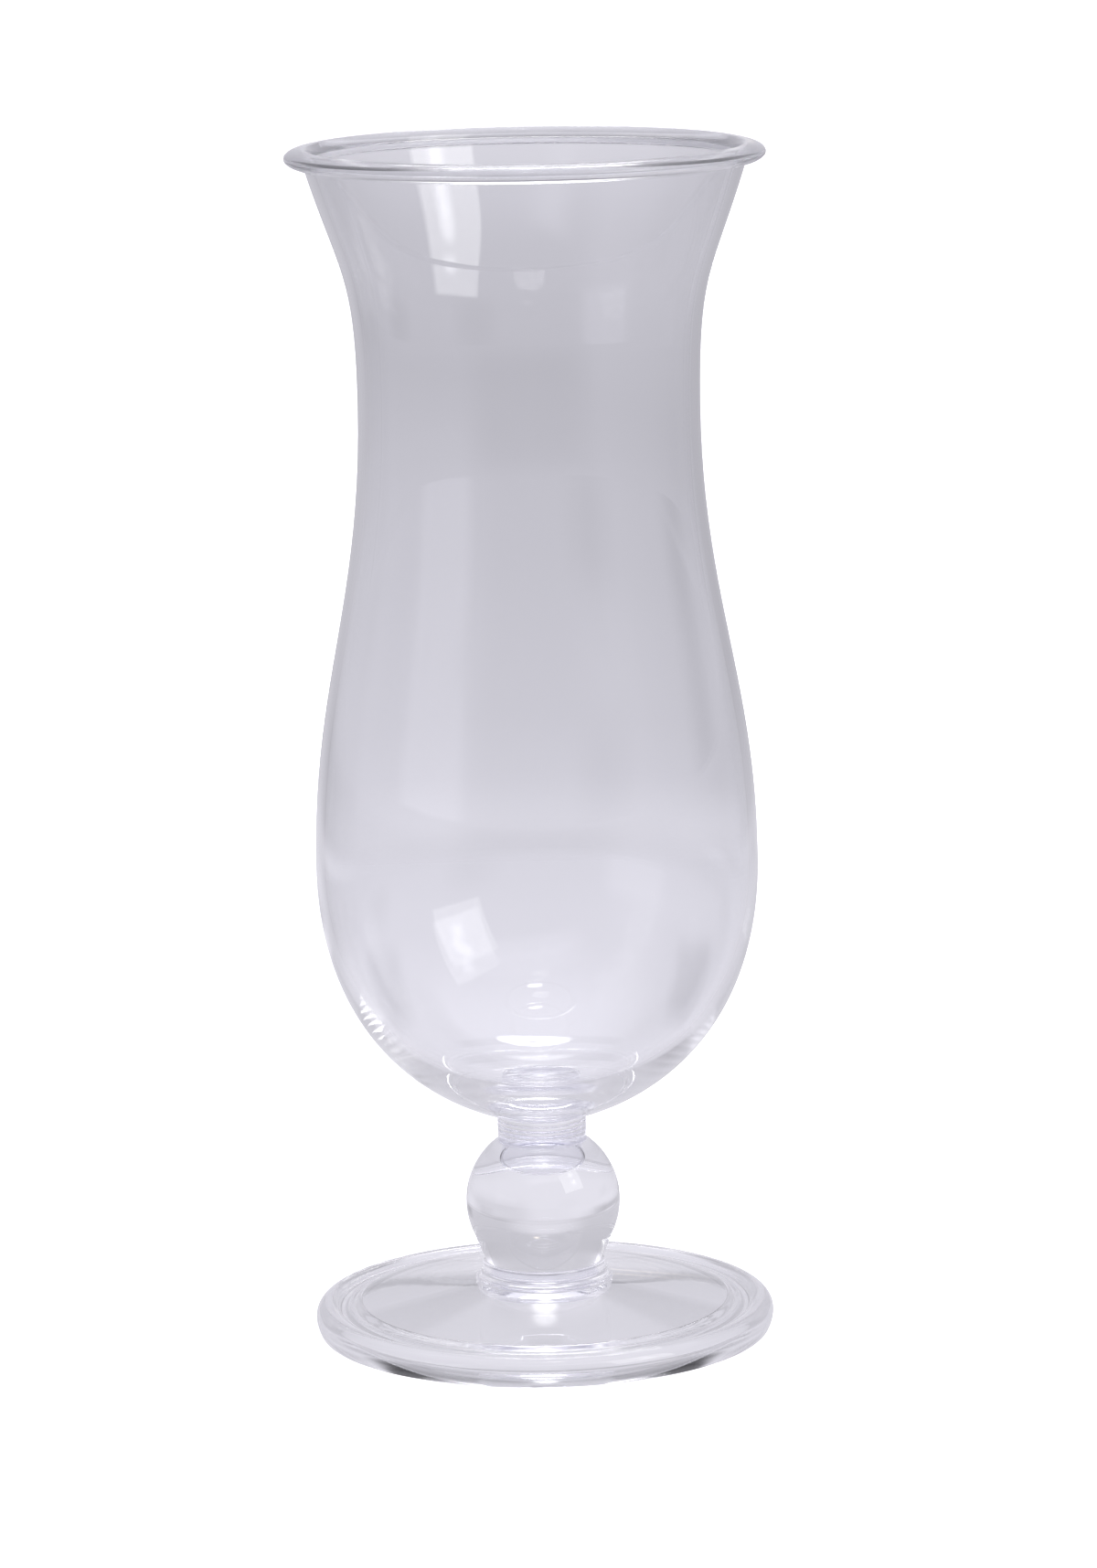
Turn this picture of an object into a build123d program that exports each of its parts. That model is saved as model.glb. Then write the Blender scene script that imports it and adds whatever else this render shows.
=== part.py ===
from build123d import *

import math
import os

# Hurricane glass of clear moulded plastic: a bowl on a short neck, a round knop and a foot.
# The three mouldings are turned shapes, cemented together by tenons in sockets.
# Millimetres, +Z up, origin on the table at the centre of the foot.

# Cement film in both joints, and its bead in the corner of neck and knop
bond = 0.15
bond_bead_height = 0.35

# Foot, from its edge inwards
foot_radius = 39.93
foot_edge_height = 2.57
foot_undercut = 0.73
foot_bead_width = 2.03
foot_bead_height = 5.0
groove_inset = 6.23
groove_depth = 0.8
groove_wall_width = 1.3
groove_wall_rise = 1.0
dome_rise = 3.6
plate_thickness = 3.2
standing_width = 4.4
standing_slope_width = 1.4
foot_floor = 2.0
hub_inset = 0.5

# Collar that carries the knop
collar_step = 0.3
collar_flare_width = 1.5
collar_flare_rise = 3.2

# Knop
knop_radius = 13.4
knop_taper_angle = 22.5
knop_taper_height = 5.33
knop_ledge = 0.3
lower_shoulder = 4.4
lower_tenon_length = 5.0

# Neck under the bowl
neck_radius = 7.64
neck_length = 4.55
upper_shoulder = 2.6
upper_tenon_length = 6.0

# Bowl: its three named levels are stacked on the neck
belly_radius = 38.09
belly_rise = 44.6
throat_radius = 29.15
throat_rise = 79.3
rim_radius = 40.75
rim_rise = 44.0
rim_bead_width = 3.35
rim_bead_height = 3.2
wall = 1.6
floor_thickness = 3.9
bottom_angle = 15.6
flare_angle = 17.2

# Shape of the bowl's curves: length of each handle as a share of its curve's span
rim_pull = 0.478
throat_upper_pull = 0.5635
throat_lower_pull = 0.4258
belly_upper_pull = 0.3989
belly_lower_pull = 0.652
neck_pull = 0.443
floor_pull = 0.55

# Levels and radii of the foot
foot_base_radius = foot_radius - foot_undercut
foot_bead_radius = foot_radius - foot_bead_width
groove_radius = foot_radius - groove_inset
groove_height = foot_bead_height - groove_depth
groove_ease = (foot_bead_radius - groove_radius) / 2
dome_radius = groove_radius - groove_wall_width
dome_edge_height = groove_height + groove_wall_rise
dome_top_height = dome_edge_height + dome_rise
collar_height = dome_top_height + collar_flare_rise

# Levels and radii of the knop
knop_taper = math.radians(knop_taper_angle)
knop_tangent_radius = knop_radius * math.cos(knop_taper)
knop_tangent_drop = knop_radius * math.sin(knop_taper)
knop_base_radius = knop_tangent_radius - knop_taper_height * math.tan(knop_taper)
knop_base_height = collar_height + bond
knop_centre_height = knop_base_height + knop_taper_height + knop_tangent_drop
knop_top_radius = neck_radius + knop_ledge
knop_top_rise = math.sqrt(knop_radius**2 - knop_top_radius**2)
knop_top_height = knop_centre_height + knop_top_rise

# Lower joint: the knop's tenon in the foot's socket
lower_tenon_radius = knop_base_radius - lower_shoulder
lower_tenon_end = knop_base_height - lower_tenon_length
lower_socket_radius = lower_tenon_radius + bond
lower_socket_end = lower_tenon_end - bond
collar_radius = knop_base_radius + collar_step
flare_radius = collar_radius + collar_flare_width

# Underside of the foot
recess_height = lower_socket_end - foot_floor
recess_edge_height = dome_edge_height - plate_thickness
standing_inner_radius = foot_base_radius - standing_width
recess_edge_radius = standing_inner_radius - standing_slope_width
hub_radius = flare_radius - hub_inset
dome_slope = dome_rise / (dome_radius - flare_radius)
hub_edge_height = recess_edge_height + (recess_edge_radius - hub_radius) * dome_slope

# Upper joint: the neck's tenon in the knop's socket
neck_end = knop_top_height + bond
upper_tenon_radius = neck_radius - upper_shoulder
upper_tenon_end = neck_end - upper_tenon_length
upper_socket_radius = upper_tenon_radius + bond
upper_socket_end = upper_tenon_end - bond

# Levels and radii of the bowl
bowl_bottom = neck_end + neck_length
belly_height = bowl_bottom + belly_rise
throat_height = belly_height + throat_rise
glass_height = throat_height + rim_rise
floor_height = bowl_bottom + floor_thickness
crest_radius = rim_radius - rim_bead_width
bead_centre_height = glass_height - rim_bead_height / 2
wall_top_height = glass_height - rim_bead_height
flare_slope = math.radians(flare_angle)
lip_radius = crest_radius - wall * math.cos(flare_slope)
lip_height = wall_top_height + wall * math.sin(flare_slope)
inner_throat_radius = throat_radius - wall
inner_belly_radius = belly_radius - wall

os.makedirs("parts", exist_ok=True)


def flare_curve(top_radius, top_height, low_radius):
    """Curve from the rim down to the throat, where it stands upright."""
    span = top_height - throat_height
    handle = span * rim_pull
    Bezier(
        (top_radius, top_height),
        (top_radius - handle * math.sin(flare_slope), top_height - handle * math.cos(flare_slope)),
        (low_radius, throat_height + span * throat_upper_pull),
        (low_radius, throat_height),
    )


def waist_curve(upper_radius, lower_radius):
    """Curve from the throat down to the belly, upright at both ends."""
    Bezier(
        (upper_radius, throat_height),
        (upper_radius, throat_height - throat_rise * throat_lower_pull),
        (lower_radius, belly_height + throat_rise * belly_upper_pull),
        (lower_radius, belly_height),
    )


def bottom_curve(side_radius, end_radius, end_height, end_angle, end_pull):
    """Curve from the belly down to the bottom, which it meets at an angle to the level."""
    drop = (belly_height - end_height) * belly_lower_pull
    handle = (side_radius - end_radius) * end_pull
    slope = math.radians(end_angle)
    Bezier(
        (side_radius, belly_height),
        (side_radius, belly_height - drop),
        (end_radius + handle * math.cos(slope), end_height + handle * math.sin(slope)),
        (end_radius, end_height),
    )


# Foot: rounded edge, groove, shallow dome, flared collar with its socket, recess with a hub below
with BuildPart() as foot:
    with BuildSketch(Plane.XZ):
        with BuildLine():
            Polyline(
                (0, recess_height),
                (hub_radius, recess_height),
                (hub_radius, hub_edge_height),
                (recess_edge_radius, recess_edge_height),
                (standing_inner_radius, 0),
                (foot_base_radius, 0),
            )
            TangentArc((foot_radius, foot_edge_height), (foot_base_radius, 0), tangent=(0, -1))
            EllipticalCenterArc(
                (foot_bead_radius, foot_edge_height),
                foot_bead_width,
                foot_bead_height - foot_edge_height,
                start_angle=0,
                arc_size=90,
            )
            Bezier(
                (foot_bead_radius, foot_bead_height),
                (foot_bead_radius - groove_ease, foot_bead_height),
                (groove_radius + groove_ease, groove_height),
                (groove_radius, groove_height),
            )
            Polyline(
                (groove_radius, groove_height),
                (dome_radius, dome_edge_height),
                (flare_radius, dome_top_height),
            )
            EllipticalCenterArc(
                (flare_radius, collar_height),
                collar_flare_width,
                collar_flare_rise,
                start_angle=180,
                arc_size=90,
            )
            Polyline(
                (collar_radius, collar_height),
                (lower_socket_radius, collar_height),
                (lower_socket_radius, lower_socket_end),
                (0, lower_socket_end),
                (0, recess_height),
            )
        make_face()
    revolve(axis=Axis.Z)
foot.part.label = "foot"
export_step(foot.part, "parts/foot.step")

# Cement between the foot's socket and the knop's tenon
with BuildPart() as lower_bond:
    with BuildSketch(Plane.XZ):
        with BuildLine():
            Polyline(
                (0, lower_socket_end),
                (lower_socket_radius, lower_socket_end),
                (lower_socket_radius, collar_height),
                (knop_base_radius, collar_height),
                (knop_base_radius, knop_base_height),
                (lower_tenon_radius, knop_base_height),
                (lower_tenon_radius, lower_tenon_end),
                (0, lower_tenon_end),
                close=True,
            )
        make_face()
    revolve(axis=Axis.Z)
lower_bond.part.label = "lower_bond"
export_step(lower_bond.part, "parts/lower_bond.step")

# Knop: a ball that runs into a taper below and is cut flat for the neck above
with BuildPart() as knop:
    with BuildSketch(Plane.XZ):
        with BuildLine():
            Polyline(
                (0, lower_tenon_end),
                (lower_tenon_radius, lower_tenon_end),
                (lower_tenon_radius, knop_base_height),
                (knop_base_radius, knop_base_height),
                (knop_tangent_radius, knop_centre_height - knop_tangent_drop),
            )
            ThreePointArc(
                (knop_tangent_radius, knop_centre_height - knop_tangent_drop),
                (knop_radius, knop_centre_height),
                (knop_top_radius, knop_top_height),
            )
            Polyline(
                (knop_top_radius, knop_top_height),
                (upper_socket_radius, knop_top_height),
                (upper_socket_radius, upper_socket_end),
                (0, upper_socket_end),
                (0, lower_tenon_end),
            )
        make_face()
    revolve(axis=Axis.Z)
knop.part.label = "knop"
export_step(knop.part, "parts/knop.step")

# Cement between the knop's socket and the neck's tenon, with its bead round the neck
with BuildPart() as upper_bond:
    with BuildSketch(Plane.XZ):
        with BuildLine():
            Polyline(
                (0, upper_socket_end),
                (upper_socket_radius, upper_socket_end),
                (upper_socket_radius, knop_top_height),
                (knop_top_radius, knop_top_height),
                (neck_radius, neck_end + bond_bead_height),
                (neck_radius, neck_end),
                (upper_tenon_radius, neck_end),
                (upper_tenon_radius, upper_tenon_end),
                (0, upper_tenon_end),
                close=True,
            )
        make_face()
    revolve(axis=Axis.Z)
upper_bond.part.label = "upper_bond"
export_step(upper_bond.part, "parts/upper_bond.step")

# Bowl: rim bead, flare, throat, belly, thick bottom, neck and tenon
with BuildPart() as bowl:
    with BuildSketch(Plane.XZ):
        with BuildLine():
            EllipticalCenterArc(
                (crest_radius, bead_centre_height),
                rim_bead_width,
                rim_bead_height / 2,
                start_angle=-90,
                arc_size=180,
            )
            EllipticalCenterArc(
                (crest_radius, lip_height),
                crest_radius - lip_radius,
                glass_height - lip_height,
                start_angle=90,
                arc_size=90,
            )
            flare_curve(lip_radius, lip_height, inner_throat_radius)
            waist_curve(inner_throat_radius, inner_belly_radius)
            bottom_curve(inner_belly_radius, 0, floor_height, 0, floor_pull)
            Polyline(
                (0, floor_height),
                (0, upper_tenon_end),
                (upper_tenon_radius, upper_tenon_end),
                (upper_tenon_radius, neck_end),
                (neck_radius, neck_end),
                (neck_radius, bowl_bottom),
            )
            bottom_curve(belly_radius, neck_radius, bowl_bottom, bottom_angle, neck_pull)
            waist_curve(throat_radius, belly_radius)
            flare_curve(crest_radius, wall_top_height, throat_radius)
        make_face()
    revolve(axis=Axis.Z)
bowl.part.label = "bowl"
export_step(bowl.part, "parts/bowl.step")
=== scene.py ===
"""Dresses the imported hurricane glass: three clear mouldings, two bond lines and a small studio."""

import logging
import math
from dataclasses import dataclass, field
from enum import Enum
from typing import Any, Callable, ClassVar, Optional, Union

import bpy
import numpy as np
from mathutils import Matrix, Vector


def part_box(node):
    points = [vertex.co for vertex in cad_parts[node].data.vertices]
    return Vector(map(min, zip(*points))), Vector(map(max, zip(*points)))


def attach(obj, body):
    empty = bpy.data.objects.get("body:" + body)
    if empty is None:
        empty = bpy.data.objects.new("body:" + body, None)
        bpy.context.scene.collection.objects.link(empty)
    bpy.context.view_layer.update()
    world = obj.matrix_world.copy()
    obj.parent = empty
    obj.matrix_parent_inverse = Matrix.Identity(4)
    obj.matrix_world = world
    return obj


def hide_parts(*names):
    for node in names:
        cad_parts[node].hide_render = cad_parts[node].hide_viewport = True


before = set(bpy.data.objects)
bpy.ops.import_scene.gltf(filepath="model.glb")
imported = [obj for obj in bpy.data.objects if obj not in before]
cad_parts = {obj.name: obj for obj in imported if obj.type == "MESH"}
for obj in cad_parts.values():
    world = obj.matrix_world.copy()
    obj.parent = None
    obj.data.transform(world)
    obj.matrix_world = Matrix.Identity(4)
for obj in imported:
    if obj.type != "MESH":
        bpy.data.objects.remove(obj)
log = logging.getLogger("hurricane_glass")

# One millimetre in metres, and the body that every piece rides on
MM = 0.001
ROOT = "root"
# How near a point has to lie to a named place, in millimetres
NEAR = 0.01
# Points nearer to each other than this, in metres, are merged
MERGE = 2e-6

Point = tuple[float, float]
Triple = tuple[float, float, float]
Colour = tuple[float, float, float]
Piece = bpy.types.Object
Material = bpy.types.Material
ORIGIN: Triple = (0.0, 0.0, 0.0)
WHITE: Colour = (1.0, 1.0, 1.0)
BLACK: Colour = (0.0, 0.0, 0.0)


class Tool(Enum):
    """Which elements a selection picks in edit mode."""

    POINTS = (True, False, False)
    FACES = (False, False, True)


class Skin(Enum):
    """Material slots of a piece, in the order that they are added."""

    CLEAR = 0
    BONDED = 1


class Signal:
    """A shader socket on which plain arithmetic adds Math nodes."""

    def __init__(self, sheet: "NodeSheet", socket: bpy.types.NodeSocket) -> None:
        """Keeps the sheet that the socket's node lies on."""
        self.sheet = sheet
        self.socket = socket

    def other(self, name: str) -> "Signal":
        """Another output of the same node."""
        return Signal(self.sheet, self.socket.node.outputs[name])

    def _math(self, operation: str, first: Any, second: Any = 0.0) -> "Signal":
        """Adds one Math node for an operation on values or signals."""
        return self.sheet.node("ShaderNodeMath", {"operation": operation}, {0: first, 1: second})

    def __add__(self, other: Any) -> "Signal":
        """Sum."""
        return self._math("ADD", self, other)

    __radd__ = __add__

    def __sub__(self, other: Any) -> "Signal":
        """Difference."""
        return self._math("SUBTRACT", self, other)

    def __rsub__(self, other: Any) -> "Signal":
        """Difference with the signal on the right."""
        return self._math("SUBTRACT", other, self)

    def __mul__(self, other: Any) -> "Signal":
        """Product."""
        return self._math("MULTIPLY", self, other)

    __rmul__ = __mul__

    def __truediv__(self, other: Any) -> "Signal":
        """Quotient."""
        return self._math("DIVIDE", self, other)

    def over(self, level: float) -> "Signal":
        """1 where the signal is above a level, else 0."""
        return self._math("GREATER_THAN", self, level)

    def size(self) -> "Signal":
        """The value without its sign."""
        return self._math("ABSOLUTE", self)

    def ease(self, start: float, end: float) -> "Signal":
        """A soft step that is 0 at its start and 1 at its end."""
        sockets = {"Value": self, "From Min": start, "From Max": end}
        return self.sheet.node("ShaderNodeMapRange", {"interpolation_type": "SMOOTHSTEP"}, sockets)


class NodeSheet:
    """The node tree of one material or of the world."""

    def __init__(self, tree: bpy.types.NodeTree) -> None:
        """Takes a tree and clears it."""
        self.tree = tree
        self.tree.nodes.clear()

    @staticmethod
    def for_material(name: str) -> tuple[Material, "NodeSheet"]:
        """Starts a material.

        Args:
            name: its name.

        Returns:
            The material and its empty sheet.
        """
        material = bpy.data.materials.new(name)
        material.use_nodes = True
        return material, NodeSheet(material.node_tree)

    def node(
        self,
        kind: str,
        settings: Optional[dict[str, Any]] = None,
        sockets: Optional[dict[Union[str, int], Any]] = None,
        output: Union[str, int] = 0,
    ) -> Signal:
        """Adds any node.

        Args:
            kind: the node's type.
            settings: its own settings, set first; "stops" gives a ramp's places and colours.
            sockets: values or signals for its inputs.
            output: which output to hand back.

        Returns:
            The chosen output.
        """
        made = self.tree.nodes.new(kind)
        for name, value in (settings or {}).items():
            if name == "stops":
                self._set_stops(made.color_ramp, value)
            else:
                setattr(made, name, value)
        for name, value in (sockets or {}).items():
            if isinstance(value, Signal):
                self.tree.links.new(value.socket, made.inputs[name])
            else:
                made.inputs[name].default_value = value
        return Signal(self, made.outputs[output] if len(made.outputs) else made.inputs[0])

    @staticmethod
    def _set_stops(ramp: bpy.types.ColorRamp, stops: list[tuple[float, Colour]]) -> None:
        """Gives a colour ramp its stops.

        Args:
            ramp: the ramp.
            stops: places from 0 to 1, each with its colour.
        """
        while len(ramp.elements) < len(stops):
            ramp.elements.new(1.0)
        for element, (place, colour) in zip(ramp.elements, stops):
            element.position = place
            element.color = (*colour, 1.0)

    def mix(self, share: Any, first: Any, second: Any) -> Signal:
        """Mixes two colours.

        Args:
            share: share of the second colour.
            first: colour or signal.
            second: colour or signal.

        Returns:
            The mixed colour.
        """
        pair = [value if isinstance(value, Signal) else (*value, 1.0) for value in (first, second)]
        sockets = {0: share, 6: pair[0], 7: pair[1]}
        return self.node("ShaderNodeMix", {"data_type": "RGBA"}, sockets, 2)

    def blend(self, share: Signal, first: Signal, second: Signal) -> Signal:
        """Mixes two shaders by the share of the second one."""
        return self.node("ShaderNodeMixShader", {}, {0: share, 1: first, 2: second})

    def length(self, way: Signal) -> Signal:
        """Length of a vector."""
        return self.node("ShaderNodeVectorMath", {"operation": "LENGTH"}, {0: way}, "Value")

    def mapped(self, place: Signal, **sockets: Any) -> Signal:
        """Coordinates that are turned or stretched."""
        return self.node("ShaderNodeMapping", {}, {"Vector": place, **sockets})

    def noise(self, place: Signal, **sockets: Any) -> Signal:
        """Soft noise over some coordinates."""
        return self.node("ShaderNodeTexNoise", {}, {"Vector": place, **sockets})

    def finish(self, shader: Signal, kind: str = "Material") -> None:
        """Shows a shader as the surface of the material or of the world."""
        self.node("ShaderNodeOutput" + kind, {}, {"Surface": shader})


@dataclass(frozen=True)
class ClearPlastic:
    """Polished clear moulded plastic with a faint cool tint, and a matt rim where it is ground.

    The rim's places are radius and height in metres, and its fades are lengths in metres.
    """

    name: str
    tint_light: Colour
    tint_deep: Colour
    scratch_haze: float
    flow_stretch: float
    flow_depth: float
    peel_depth: float
    ground_from: Point = (0.0, 0.0)
    ground_haze: float = 0.0
    ground_share: float = 0.0
    ground_fade: Point = (0.4 * MM, 0.6 * MM)
    ground_colour: Colour = (0.96, 0.96, 1.0)
    ground_roughness: float = 0.45
    trim_to: Point = (0.0, 0.0)
    trim_share: float = 0.0
    trim_fade: float = 0.3 * MM
    trim_start: Point = (0.75 * MM, 0.95 * MM)
    index: float = 1.57
    flow_scale: float = 95.0
    peel_scale: float = 260.0
    scratch_scale: Triple = (700.0, 60.0, 90.0)
    scratch_turn: Triple = (0.5, 0.3, 0.9)
    scratch_level: float = 0.68

    def make(self) -> Material:
        """Builds the material.

        Returns:
            The material.
        """
        material, sheet = NodeSheet.for_material(self.name)
        place = sheet.node("ShaderNodeTexCoord", output="Object")
        # Soft upright streaks left by the flow of the melt
        streaks = sheet.mapped(place, Scale=(1.0, 1.0, self.flow_stretch))
        flow = sheet.noise(streaks, Scale=self.flow_scale, Detail=2.0, Roughness=0.45)
        # Sparse hairline rub marks
        rubbed = sheet.mapped(place, Rotation=self.scratch_turn, Scale=self.scratch_scale)
        scratch = sheet.noise(rubbed, Scale=1.0, Detail=3.0).over(self.scratch_level)
        # Slight waviness of the moulded skin
        peel = sheet.noise(place, Scale=self.peel_scale, Detail=1.0)
        height = self.flow_depth * flow + self.peel_depth * peel
        sockets = {"Strength": 1.0, "Distance": 1.0, "Height": height}
        relief = sheet.node("ShaderNodeBump", {}, sockets)

        rough = self.scratch_haze * scratch
        masks = self._ground(sheet, place) if self.ground_share else None
        if masks:
            rough = rough + self.ground_haze * masks[0]
        sockets = {
            "Base Color": sheet.mix(flow, self.tint_light, self.tint_deep),
            "Roughness": rough,
            "IOR": self.index,
            "Transmission Weight": 1.0,
            "Normal": relief,
        }
        shader = sheet.node("ShaderNodeBsdfPrincipled", {}, sockets)
        if masks:
            sockets = {
                "Base Color": (*self.ground_colour, 1.0),
                "Roughness": self.ground_roughness,
                "IOR": self.index,
            }
            frosted = sheet.node("ShaderNodeBsdfPrincipled", {}, sockets)
            share = masks[0] * self.ground_share + masks[1] * self.trim_share
            shader = sheet.blend(share, shader, frosted)
        sheet.finish(shader)
        return material

    def _ground(self, sheet: NodeSheet, place: Signal) -> tuple[Signal, Signal]:
        """Where the rim is ground matt, and where its inner lip is trimmed whiter.

        Args:
            sheet: the material's nodes.
            place: object coordinates.

        Returns:
            Two masks from 0 to 1.
        """
        rise = sheet.node("ShaderNodeSeparateXYZ", {}, {0: place}, "Z")
        flat = {0: place, 1: (1.0, 1.0, 0.0)}
        reach = sheet.length(sheet.node("ShaderNodeVectorMath", {"operation": "MULTIPLY"}, flat))
        radius, height = self.ground_from
        across, up = self.ground_fade
        ground = rise.ease(height, height + up) * reach.ease(radius, radius + across)
        outer, upper = self.trim_to
        trim = rise.ease(upper, upper - self.trim_fade) * reach.ease(outer, outer - self.trim_fade)
        start, full = self.trim_start
        return ground, trim * rise.ease(height + start, height + full)


@dataclass(frozen=True)
class BondedFace:
    """Faces that a clear cement wets, where both sides bend light alike and only a trace shows."""

    name: str
    trace: Colour

    def make(self) -> Material:
        """Builds the material.

        Returns:
            The material.
        """
        material, sheet = NodeSheet.for_material(self.name)
        sheet.finish(sheet.node("ShaderNodeBsdfTransparent", {}, {"Color": (*self.trace, 1.0)}))
        return material


BOWL_PLASTIC = ClearPlastic(
    "clear_blow_moulded", (0.992, 0.992, 1.0), (0.982, 0.983, 0.995), 0.03, 0.12, 6.0e-6, 1.2e-6,
    ground_from=(0.0362, 0.2024), ground_haze=0.11, ground_share=0.18,
    trim_to=(0.0368, 0.2043), trim_share=0.6,
)
STEM_PLASTIC = ClearPlastic(
    "clear_injection_moulded", (0.993, 0.993, 1.0), (0.984, 0.985, 0.996), 0.02, 0.5, 2.0e-6, 0.8e-6
)
SET_CEMENT = ClearPlastic(
    "clear_cement", (0.995, 0.995, 1.0), (0.985, 0.985, 0.995), 0.01, 1.0, 2.0e-6, 1.0e-6
)
WETTED = BondedFace("bonded_face", (0.985, 0.985, 0.99))


@dataclass(frozen=True)
class Stroke:
    """One stretch of a turned profile: a cubic curve through radius and height, in millimetres."""

    start: Point
    start_handle: Point
    end_handle: Point
    end: Point
    steps: int

    @staticmethod
    def between(start: Point, end: Point, share: float) -> Point:
        """The point at a share of the way from one point to another."""
        return (start[0] + share * (end[0] - start[0]), start[1] + share * (end[1] - start[1]))

    @staticmethod
    def line(start: Point, end: Point, steps: int = 1) -> "Stroke":
        """A straight stretch.

        Args:
            start: first point.
            end: last point.
            steps: how many edges it gets.

        Returns:
            The stroke.
        """
        third = [(e - s) / 3 for s, e in zip(start, end)]
        near = (start[0] + third[0], start[1] + third[1])
        far = (end[0] - third[0], end[1] - third[1])
        return Stroke(start, near, far, end, steps)

    @staticmethod
    def path(*points: Point) -> list["Stroke"]:
        """Straight stretches of one edge each, from point to point."""
        return [Stroke.line(start, end) for start, end in zip(points, points[1:])]

    @staticmethod
    def bulge(start: Point, end: Point, rise: float, steps: int) -> "Stroke":
        """A stretch that bulges to the left of its way.

        Args:
            start: first point.
            end: last point.
            rise: how far its handles stand off the straight line.
            steps: how many edges it gets.

        Returns:
            The stroke.
        """
        inset = 0.2
        along = (end[0] - start[0], end[1] - start[1])
        length = math.hypot(*along)
        side = (-along[1] / length * rise, along[0] / length * rise)
        near = (start[0] + inset * along[0] + side[0], start[1] + inset * along[1] + side[1])
        far = (end[0] - inset * along[0] + side[0], end[1] - inset * along[1] + side[1])
        return Stroke(start, near, far, end, steps)

    @staticmethod
    def rings(points: list[Point], rise: float, steps: int = 6) -> list["Stroke"]:
        """Bulging stretches from point to point."""
        return [Stroke.bulge(start, end, rise, steps) for start, end in zip(points, points[1:])]

    @staticmethod
    def quarter(start: Point, corner: Point, end: Point, steps: int) -> "Stroke":
        """A quarter of an ellipse that rounds a corner.

        Args:
            start: first point.
            corner: the corner that both ends point at.
            end: last point.
            steps: how many edges it gets.

        Returns:
            The stroke.
        """
        reach = 0.5523
        near = Stroke.between(start, corner, reach)
        return Stroke(start, near, Stroke.between(end, corner, reach), end, steps)

    @staticmethod
    def arc(centre: Point, radius: float, first: float, last: float, steps: int) -> "Stroke":
        """An arc of a circle of a quarter turn or less.

        Args:
            centre: centre of the circle.
            radius: its radius.
            first: start angle in degrees, from outwards towards up.
            last: end angle in degrees.
            steps: how many edges it gets.

        Returns:
            The stroke.
        """
        a, b = math.radians(first), math.radians(last)
        reach = 4 / 3 * math.tan((b - a) / 4) * radius
        start = (centre[0] + radius * math.cos(a), centre[1] + radius * math.sin(a))
        end = (centre[0] + radius * math.cos(b), centre[1] + radius * math.sin(b))
        near = (start[0] - reach * math.sin(a), start[1] + reach * math.cos(a))
        far = (end[0] + reach * math.sin(b), end[1] - reach * math.cos(b))
        return Stroke(start, near, far, end, steps)

    def reversed(self) -> "Stroke":
        """The same stretch drawn the other way."""
        return Stroke(self.end, self.end_handle, self.start_handle, self.start, self.steps)

    def draw(self, curve: bpy.types.Curve) -> None:
        """Adds the stretch to a profile curve.

        Args:
            curve: the profile.
        """
        spline = curve.splines.new("BEZIER")
        spline.bezier_points.add(1)
        spline.resolution_u = self.steps
        ends = (
            (self.start, self.start, self.start_handle),
            (self.end, self.end_handle, self.end),
        )
        for knot, (place, before, after) in zip(spline.bezier_points, ends):
            knot.handle_left_type = "FREE"
            knot.handle_right_type = "FREE"
            knot.co = (place[0] * MM, 0.0, place[1] * MM)
            knot.handle_left = (before[0] * MM, 0.0, before[1] * MM)
            knot.handle_right = (after[0] * MM, 0.0, after[1] * MM)


@dataclass
class Places:
    """Where the points or faces of a piece lie, in millimetres, and which way they look."""

    place: np.ndarray
    normal: np.ndarray

    @staticmethod
    def of(group: Any, name: str) -> "Places":
        """Reads a mesh's points or faces.

        Args:
            group: the points or faces.
            name: the property that holds their place.

        Returns:
            The places.
        """
        place = np.empty(3 * len(group), dtype=np.float32)
        normal = np.empty(3 * len(group), dtype=np.float32)
        group.foreach_get(name, place)
        group.foreach_get("normal", normal)
        return Places(place.reshape(-1, 3) / MM, normal.reshape(-1, 3))

    @property
    def radius(self) -> np.ndarray:
        """Distance from the axis."""
        return np.hypot(self.place[:, 0], self.place[:, 1])

    @property
    def height(self) -> np.ndarray:
        """Height above the table."""
        return self.place[:, 2]

    @property
    def outward(self) -> np.ndarray:
        """How much the normal looks away from the axis."""
        along = (self.place[:, :2] * self.normal[:, :2]).sum(axis=1)
        return along / np.maximum(self.radius, 1e-6)


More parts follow.
